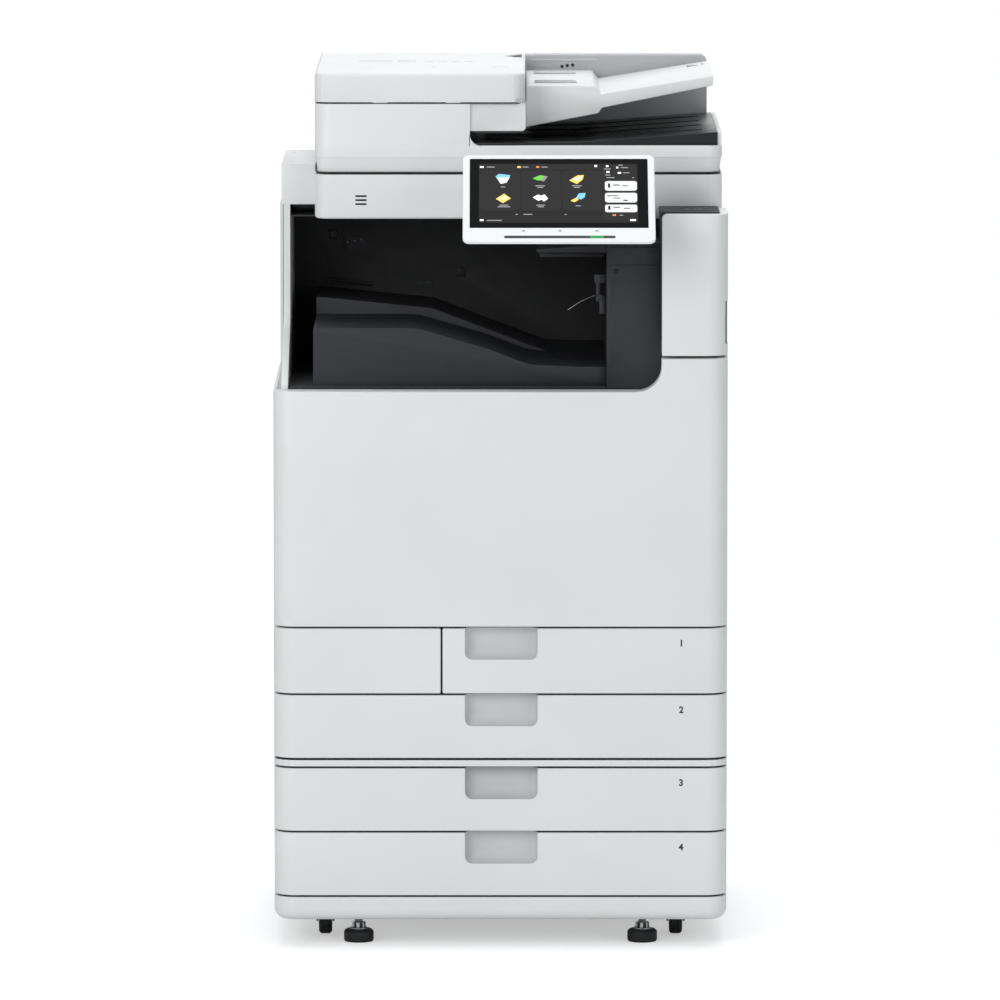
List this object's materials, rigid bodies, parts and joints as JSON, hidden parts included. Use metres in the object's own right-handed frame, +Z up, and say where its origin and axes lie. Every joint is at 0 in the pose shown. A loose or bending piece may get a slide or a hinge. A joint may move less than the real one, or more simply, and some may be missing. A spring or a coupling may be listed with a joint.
{
  "type": "photocopier",
  "caption": "Free-standing A3 copier with document feeder, scanner, tilting touch panel, output bay, opening covers and paper drawers on casters.",
  "frame": {"origin": "on the floor, in the middle of the footprint", "axes": "+Z up, +X to the user's right, the front with the drawers faces -Y"},
  "size_m": [0.62, 0.722, 1.191],
  "materials": {
    "white_plastic": "fine moulded grain",
    "pale_grey_plastic": "fine moulded grain",
    "charcoal_plastic": "moulded grain",
    "black_plastic": "satin",
    "zinc_steel": "zinc-plated sheet",
    "rubber": "matt",
    "screen_glass": "polished",
    "platen_glass_finish": "polished",
    "drum_coating": "polished"
  },
  "bodies": {
    "chassis": {"main_frame": "zinc_steel", "pedestal_frame": "zinc_steel", "base_skirt": "white_plastic", "left_cover": "white_plastic", "rear_cover": "white_plastic", "right_cover": "white_plastic", "bay_liner": "charcoal_plastic", "output_tray": "charcoal_plastic", "bay_column": "charcoal_plastic", "left_column": "white_plastic", "scanner_housing": "white_plastic", "platen_glass": "platen_glass_finish", "right_top_cover": "white_plastic", "power_inlet": "black_plastic", "panel_arm": "pale_grey_plastic", "waste_toner_bottle": "pale_grey_plastic"},
    "feeder": {"adf_base": "white_plastic", "adf_rear_housing": "pale_grey_plastic", "adf_catch_tray": "black_plastic"},
    "panel": {"panel_housing": "white_plastic", "panel_screen": "screen_glass"},
    "front_cover": {"front_cover": "white_plastic"},
    "waste_toner_door": {"waste_toner_door": "white_plastic"},
    "right_door": {"right_door": "white_plastic"},
    "door_latch": {"door_latch": "pale_grey_plastic"},
    "bypass_tray": {"bypass_tray": "white_plastic"},
    "adf_feeder_cover": {"adf_feeder_cover": "white_plastic"},
    "adf_input_tray": {"adf_input_tray": "white_plastic"},
    "guide_front": {"guide_front": "pale_grey_plastic"},
    "guide_rear": {"guide_rear": "pale_grey_plastic"},
    "adf_pickup_roller": {"adf_pickup_roller": "rubber"},
    "adf_feed_roller": {"adf_feed_roller": "rubber"},
    "drum_unit": {"drum_unit": "drum_coating"},
    "toner_bottle": {"toner_bottle": "black_plastic"},
    "heat_roller": {"heat_roller": "black_plastic"},
    "pressure_roller": {"pressure_roller": "rubber"},
    "exit_roller": {"exit_roller": "rubber"},
    "scan_carriage": {"scan_carriage": "black_plastic"},
    "levelling_foot_left": {"levelling_foot_left": "rubber"},
    "levelling_foot_right": {"levelling_foot_right": "rubber"},
    "drawer_1": {"drawer_1": "white_plastic"},
    "lift_plate_1": {"lift_plate_1": "zinc_steel"},
    "feed_roller_1": {"feed_roller_1": "rubber"},
    "caster_fork_1": {"caster_fork_1": "zinc_steel"},
    "caster_wheel_1": {"caster_wheel_1": "rubber"},
    "drawer_2": {"drawer_2": "white_plastic"},
    "lift_plate_2": {"lift_plate_2": "zinc_steel"},
    "feed_roller_2": {"feed_roller_2": "rubber"},
    "caster_fork_2": {"caster_fork_2": "zinc_steel"},
    "caster_wheel_2": {"caster_wheel_2": "rubber"},
    "drawer_3": {"drawer_3": "white_plastic"},
    "lift_plate_3": {"lift_plate_3": "zinc_steel"},
    "feed_roller_3": {"feed_roller_3": "rubber"},
    "caster_fork_3": {"caster_fork_3": "zinc_steel"},
    "caster_wheel_3": {"caster_wheel_3": "rubber"},
    "drawer_4": {"drawer_4": "white_plastic"},
    "lift_plate_4": {"lift_plate_4": "zinc_steel"},
    "feed_roller_4": {"feed_roller_4": "rubber"},
    "caster_fork_4": {"caster_fork_4": "zinc_steel"},
    "caster_wheel_4": {"caster_wheel_4": "rubber"}
  },
  "joints": [
    {"name": "front_cover_hinge", "type": "hinge", "parent": "chassis", "child": "front_cover", "pos_m": [0, -0.231, 0.4465], "axis": [1, 0, 0], "range_deg": [0, 88]},
    {"name": "waste_door_hinge", "type": "hinge", "parent": "chassis", "child": "waste_toner_door", "pos_m": [0, -0.231, 0.3547], "axis": [1, 0, 0], "range_deg": [0, 80]},
    {"name": "right_door_hinge", "type": "hinge", "parent": "chassis", "child": "right_door", "pos_m": [0.3085, 0.2135, 0], "axis": [0, 0, 1], "range_deg": [0, 80]},
    {"name": "door_latch_pivot", "type": "hinge", "parent": "chassis", "child": "door_latch", "pos_m": [0.3075, -0.1915, 0], "axis": [0, 0, 1], "range_deg": [0, 20], "stiffness_Nm_per_rad": 0.2},
    {"name": "bypass_tray_hinge", "type": "hinge", "parent": "right_door", "child": "bypass_tray", "pos_m": [0.3085, 0, 0.499], "axis": [0, 1, 0], "range_deg": [0, 75]},
    {"name": "drawer_1_slide", "type": "slide", "parent": "chassis", "child": "drawer_1", "axis": [0, -1, 0], "range_m": [0, 0.3]},
    {"name": "lift_plate_1_hinge", "type": "hinge", "parent": "drawer_1", "child": "lift_plate_1", "pos_m": [0.0118, 0, 0.3567], "axis": [0, -1, 0], "range_deg": [0, 12]},
    {"name": "feed_roller_1_spin", "type": "hinge", "parent": "chassis", "child": "feed_roller_1", "pos_m": [0.218, 0, 0.4159], "axis": [0, 1, 0], "continuous": true},
    {"name": "drawer_2_slide", "type": "slide", "parent": "chassis", "child": "drawer_2", "axis": [0, -1, 0], "range_m": [0, 0.3]},
    {"name": "lift_plate_2_hinge", "type": "hinge", "parent": "drawer_2", "child": "lift_plate_2", "pos_m": [-0.2202, 0, 0.2676], "axis": [0, -1, 0], "range_deg": [0, 6]},
    {"name": "feed_roller_2_spin", "type": "hinge", "parent": "chassis", "child": "feed_roller_2", "pos_m": [0.194, 0, 0.3268], "axis": [0, 1, 0], "continuous": true},
    {"name": "drawer_3_slide", "type": "slide", "parent": "chassis", "child": "drawer_3", "axis": [0, -1, 0], "range_m": [0, 0.3]},
    {"name": "lift_plate_3_hinge", "type": "hinge", "parent": "drawer_3", "child": "lift_plate_3", "pos_m": [-0.2202, 0, 0.1671], "axis": [0, -1, 0], "range_deg": [0, 6]},
    {"name": "feed_roller_3_spin", "type": "hinge", "parent": "chassis", "child": "feed_roller_3", "pos_m": [0.194, 0, 0.2263], "axis": [0, 1, 0], "continuous": true},
    {"name": "drawer_4_slide", "type": "slide", "parent": "chassis", "child": "drawer_4", "axis": [0, -1, 0], "range_m": [0, 0.3]},
    {"name": "lift_plate_4_hinge", "type": "hinge", "parent": "drawer_4", "child": "lift_plate_4", "pos_m": [-0.2202, 0, 0.078], "axis": [0, -1, 0], "range_deg": [0, 6]},
    {"name": "feed_roller_4_spin", "type": "hinge", "parent": "chassis", "child": "feed_roller_4", "pos_m": [0.194, 0, 0.1372], "axis": [0, 1, 0], "continuous": true},
    {"name": "feeder_lift", "type": "hinge", "parent": "chassis", "child": "feeder", "pos_m": [0, 0.361, 1.0542], "axis": [-1, 0, 0], "range_deg": [0, 70]},
    {"name": "feeder_cover_hinge", "type": "hinge", "parent": "feeder", "child": "adf_feeder_cover", "pos_m": [-0.253, 0, 1.1535], "axis": [0, -1, 0], "range_deg": [0, 75]},
    {"name": "input_tray_hinge", "type": "hinge", "parent": "feeder", "child": "adf_input_tray", "pos_m": [0.0365, 0, 1.168], "axis": [0, -1, 0], "range_deg": [0, 35]},
    {"name": "guide_front_slide", "type": "slide", "parent": "adf_input_tray", "child": "guide_front", "axis": [0, 1, 0], "range_m": [-0.045, 0.055]},
    {"name": "guide_rear_slide", "type": "slide", "parent": "adf_input_tray", "child": "guide_rear", "axis": [0, -1, 0], "range_m": [-0.045, 0.055]},
    {"name": "adf_pickup_spin", "type": "hinge", "parent": "feeder", "child": "adf_pickup_roller", "pos_m": [-0.072, 0, 1.1322], "axis": [0, 1, 0], "continuous": true},
    {"name": "adf_feed_spin", "type": "hinge", "parent": "feeder", "child": "adf_feed_roller", "pos_m": [-0.117, 0, 1.1282], "axis": [0, 1, 0], "continuous": true},
    {"name": "panel_tilt", "type": "hinge", "parent": "chassis", "child": "panel", "pos_m": [0.079, -0.27283, 1.01217], "axis": [1, 0, 0], "range_deg": [-20, 33]},
    {"name": "drum_spin", "type": "hinge", "parent": "chassis", "child": "drum_unit", "pos_m": [-0.05, 0, 0.6025], "axis": [0, 1, 0], "continuous": true},
    {"name": "toner_spin", "type": "hinge", "parent": "chassis", "child": "toner_bottle", "pos_m": [-0.19, 0, 0.6575], "axis": [0, 1, 0], "continuous": true},
    {"name": "heat_spin", "type": "hinge", "parent": "chassis", "child": "heat_roller", "pos_m": [0.212, 0, 0.6825], "axis": [0, 1, 0], "continuous": true},
    {"name": "pressure_spin", "type": "hinge", "parent": "chassis", "child": "pressure_roller", "pos_m": [0.2523, 0, 0.6825], "axis": [0, 1, 0], "continuous": true},
    {"name": "exit_spin", "type": "hinge", "parent": "chassis", "child": "exit_roller", "pos_m": [0.1577, 0, 0.9266], "axis": [0, 1, 0], "continuous": true},
    {"name": "scan_travel", "type": "slide", "parent": "chassis", "child": "scan_carriage", "axis": [1, 0, 0], "range_m": [0, 0.372]},
    {"name": "caster_1_swivel", "type": "hinge", "parent": "chassis", "child": "caster_fork_1", "pos_m": [-0.242, -0.123, 0.05], "axis": [0, 0, 1], "continuous": true},
    {"name": "caster_1_roll", "type": "hinge", "parent": "caster_fork_1", "child": "caster_wheel_1", "pos_m": [-0.242, -0.109, 0.0245], "axis": [1, 0, 0], "continuous": true},
    {"name": "caster_2_swivel", "type": "hinge", "parent": "chassis", "child": "caster_fork_2", "pos_m": [0.242, -0.123, 0.05], "axis": [0, 0, 1], "continuous": true},
    {"name": "caster_2_roll", "type": "hinge", "parent": "caster_fork_2", "child": "caster_wheel_2", "pos_m": [0.242, -0.109, 0.0245], "axis": [1, 0, 0], "continuous": true},
    {"name": "caster_3_swivel", "type": "hinge", "parent": "chassis", "child": "caster_fork_3", "pos_m": [-0.242, 0.291, 0.05], "axis": [0, 0, 1], "continuous": true},
    {"name": "caster_3_roll", "type": "hinge", "parent": "caster_fork_3", "child": "caster_wheel_3", "pos_m": [-0.242, 0.305, 0.0245], "axis": [1, 0, 0], "continuous": true},
    {"name": "caster_4_swivel", "type": "hinge", "parent": "chassis", "child": "caster_fork_4", "pos_m": [0.242, 0.291, 0.05], "axis": [0, 0, 1], "continuous": true},
    {"name": "caster_4_roll", "type": "hinge", "parent": "caster_fork_4", "child": "caster_wheel_4", "pos_m": [0.242, 0.305, 0.0245], "axis": [1, 0, 0], "continuous": true},
    {"name": "foot_left_screw", "type": "slide", "parent": "chassis", "child": "levelling_foot_left", "axis": [0, 0, 1], "range_m": [0, 0.008]},
    {"name": "foot_right_screw", "type": "slide", "parent": "chassis", "child": "levelling_foot_right", "axis": [0, 0, 1], "range_m": [0, 0.008]}
  ],
  "couplings": [
    {"joint": "guide_front_slide", "follows": "guide_rear_slide", "ratio": 1},
    {"joint": "adf_pickup_spin", "follows": "adf_feed_spin", "ratio": 1},
    {"joint": "pressure_spin", "follows": "heat_spin", "ratio": -1}
  ]
}
